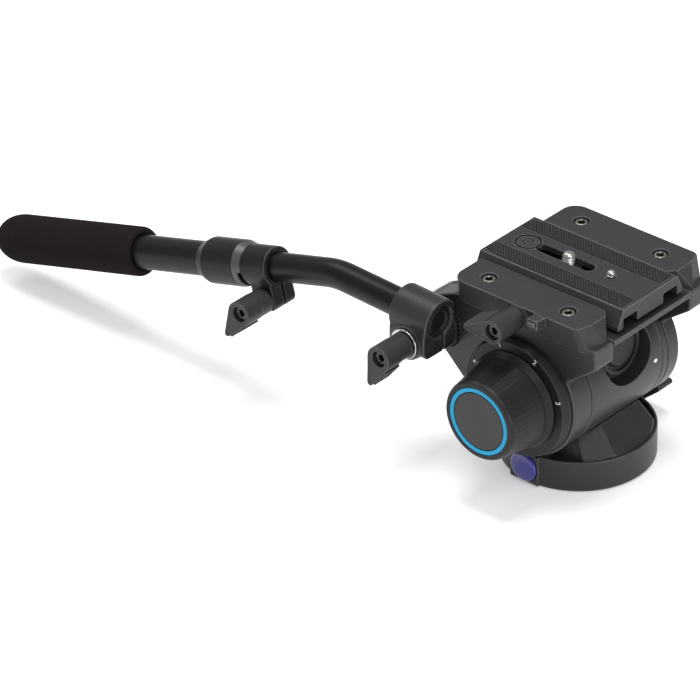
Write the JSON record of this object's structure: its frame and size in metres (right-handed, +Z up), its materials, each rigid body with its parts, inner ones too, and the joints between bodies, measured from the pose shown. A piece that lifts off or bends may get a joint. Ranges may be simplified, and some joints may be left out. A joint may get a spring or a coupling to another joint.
{
  "type": "fluid video head",
  "caption": "Fluid video head: flat base, panning housing, tilting platform with a sliding camera plate, counterbalance knob, wing locks and a bent telescopic pan handle with a foam grip.",
  "frame": {"origin": "on the pan axis in the plane that the head stands on, where the tripod stud enters", "axes": "+Y the way the lens points, +X the side of the counterbalance knob and handle, +Z up; the handle trails towards -Y"},
  "size_m": [0.1553, 0.3898, 0.1119],
  "materials": {
    "painted_alloy": "fine black texture paint",
    "anodised_alloy": "satin black anodised",
    "black_plastic": "moulded black",
    "grip_rubber": "ribbed",
    "grip_foam": "fine closed-cell foam",
    "bright_steel": "bright",
    "spring_steel": "plain",
    "bearing_bronze": "plain",
    "blue_trim": "blue",
    "grey_disc": "dark grey",
    "badge_blue": "deep blue"
  },
  "bodies": {
    "base": {"pan_base_plate": "painted_alloy", "tripod_thread_insert": "bright_steel", "pan_bearing": "bearing_bronze", "pan_retaining_nut": "spring_steel"},
    "pan": {"pan_housing": "painted_alloy", "base_badge": "badge_blue", "tilt_drum": "painted_alloy", "drum_front_cap": "black_plastic", "tilt_bearing_right": "bearing_bronze", "tilt_bearing_left": "bearing_bronze", "counterbalance_spring": "spring_steel"},
    "pan_lock": {"pan_lock_knob": "black_plastic", "pan_lock_screw": "bright_steel"},
    "tilt": {"right_cheek": "painted_alloy", "left_cheek": "painted_alloy", "tilt_top_slab": "painted_alloy", "platform": "painted_alloy", "tilt_axle": "spring_steel", "damper_rotor": "black_plastic", "counterbalance_dial": "black_plastic", "right_rosette": "spring_steel", "left_rosette": "spring_steel", "platform_screw_1": "bright_steel", "platform_screw_2": "bright_steel", "platform_screw_3": "bright_steel", "platform_screw_4": "bright_steel"},
    "counterbalance": {"counterbalance_knob": "black_plastic", "knob_trim_ring": "blue_trim", "knob_face_disc": "grey_disc", "counterbalance_shaft": "spring_steel"},
    "tilt_drag": {"tilt_drag_knob": "black_plastic", "tilt_drag_shaft": "spring_steel"},
    "tilt_lock": {"tilt_lock_knob": "black_plastic", "tilt_lock_screw": "bright_steel"},
    "plate_lock": {"plate_lock_knob": "black_plastic", "plate_lock_screw": "bright_steel"},
    "plate_jaw": {"plate_lock_jaw": "bright_steel"},
    "release_button": {"release_button": "spring_steel"},
    "plate": {"quick_release_plate": "painted_alloy", "grip_strip_right": "grip_rubber", "grip_strip_left": "grip_rubber"},
    "screw_washer": {"camera_screw_washer": "spring_steel"},
    "camera_screw": {"camera_screw": "bright_steel"},
    "video_pin": {"video_pin": "bright_steel"},
    "handle": {"handle_clamp": "painted_alloy", "handle_rosette": "spring_steel", "inner_tube": "anodised_alloy", "tube_end_plug": "black_plastic"},
    "handle_lock": {"handle_lock_knob": "black_plastic", "handle_lock_screw": "bright_steel", "handle_washer": "bright_steel"},
    "extension": {"outer_tube": "anodised_alloy", "extension_collar": "painted_alloy", "foam_grip": "grip_foam"},
    "collar_lock": {"collar_lock_knob": "black_plastic", "collar_lock_screw": "bright_steel"}
  },
  "joints": [
    {"name": "pan_turn", "type": "hinge", "parent": "base", "child": "pan", "pos_m": [0, 0, 0], "axis": [0, 0, 1], "continuous": true},
    {"name": "pan_lock_turn", "type": "hinge", "parent": "pan", "child": "pan_lock", "pos_m": [-0.0396, -0.003, 0.0115], "axis": [-1, 0, 0], "range_deg": [-140, 0]},
    {"name": "tilt_turn", "type": "hinge", "parent": "pan", "child": "tilt", "pos_m": [0, 0, 0.0543], "axis": [1, 0, 0], "range_deg": [-70, 50]},
    {"name": "counterbalance_turn", "type": "hinge", "parent": "tilt", "child": "counterbalance", "pos_m": [0.051, 0, 0.0543], "axis": [1, 0, 0], "range_deg": [0, 120]},
    {"name": "tilt_drag_turn", "type": "hinge", "parent": "tilt", "child": "tilt_drag", "pos_m": [-0.0376, 0, 0.0543], "axis": [-1, 0, 0], "range_deg": [0, 300]},
    {"name": "tilt_lock_turn", "type": "hinge", "parent": "tilt", "child": "tilt_lock", "pos_m": [-0.0448, -0.0225, 0.083], "axis": [-1, 0, 0], "range_deg": [0, 120]},
    {"name": "plate_lock_turn", "type": "hinge", "parent": "tilt", "child": "plate_lock", "pos_m": [0.0488, -0.0006, 0.0996], "axis": [1, 0, 0], "range_deg": [0, 65]},
    {"name": "jaw_slide", "type": "slide", "parent": "tilt", "child": "plate_jaw", "axis": [1, 0, 0], "range_m": [0, 0.0008]},
    {"name": "button_push", "type": "slide", "parent": "tilt", "child": "release_button", "axis": [-1, 0, 0], "range_m": [0, 0.001], "stiffness_N_per_m": 300},
    {"name": "plate_slide", "type": "slide", "parent": "tilt", "child": "plate", "axis": [0, 1, 0], "range_m": [-0.025, 0.025]},
    {"name": "screw_slide", "type": "slide", "parent": "plate", "child": "screw_washer", "axis": [0, 1, 0], "range_m": [-0.016, 0.012]},
    {"name": "camera_screw_turn", "type": "hinge", "parent": "screw_washer", "child": "camera_screw", "pos_m": [0, -0.0074, 0.1052], "axis": [0, 0, 1], "continuous": true},
    {"name": "pin_push", "type": "slide", "parent": "plate", "child": "video_pin", "axis": [0, 0, -1], "range_m": [0, 0.003], "stiffness_N_per_m": 300},
    {"name": "handle_turn", "type": "hinge", "parent": "tilt", "child": "handle", "pos_m": [0.045, -0.0523, 0.0751], "axis": [1, 0, 0], "range_deg": [-60, 75]},
    {"name": "handle_lock_turn", "type": "hinge", "parent": "handle", "child": "handle_lock", "pos_m": [0.0726, -0.0523, 0.0751], "axis": [1, 0, 0], "range_deg": [0, 120]},
    {"name": "extension_slide", "type": "slide", "parent": "handle", "child": "extension", "axis": [0, -0.9617, -0.274], "range_m": [0, 0.1]},
    {"name": "collar_lock_turn", "type": "hinge", "parent": "extension", "child": "collar_lock", "pos_m": [0.0669, -0.14958, 0.06017], "axis": [1, 0, 0], "range_deg": [0, 110]}
  ],
  "couplings": [
    {"joint": "jaw_slide", "follows": "plate_lock_turn", "m_per_rad": 0.0007}
  ]
}
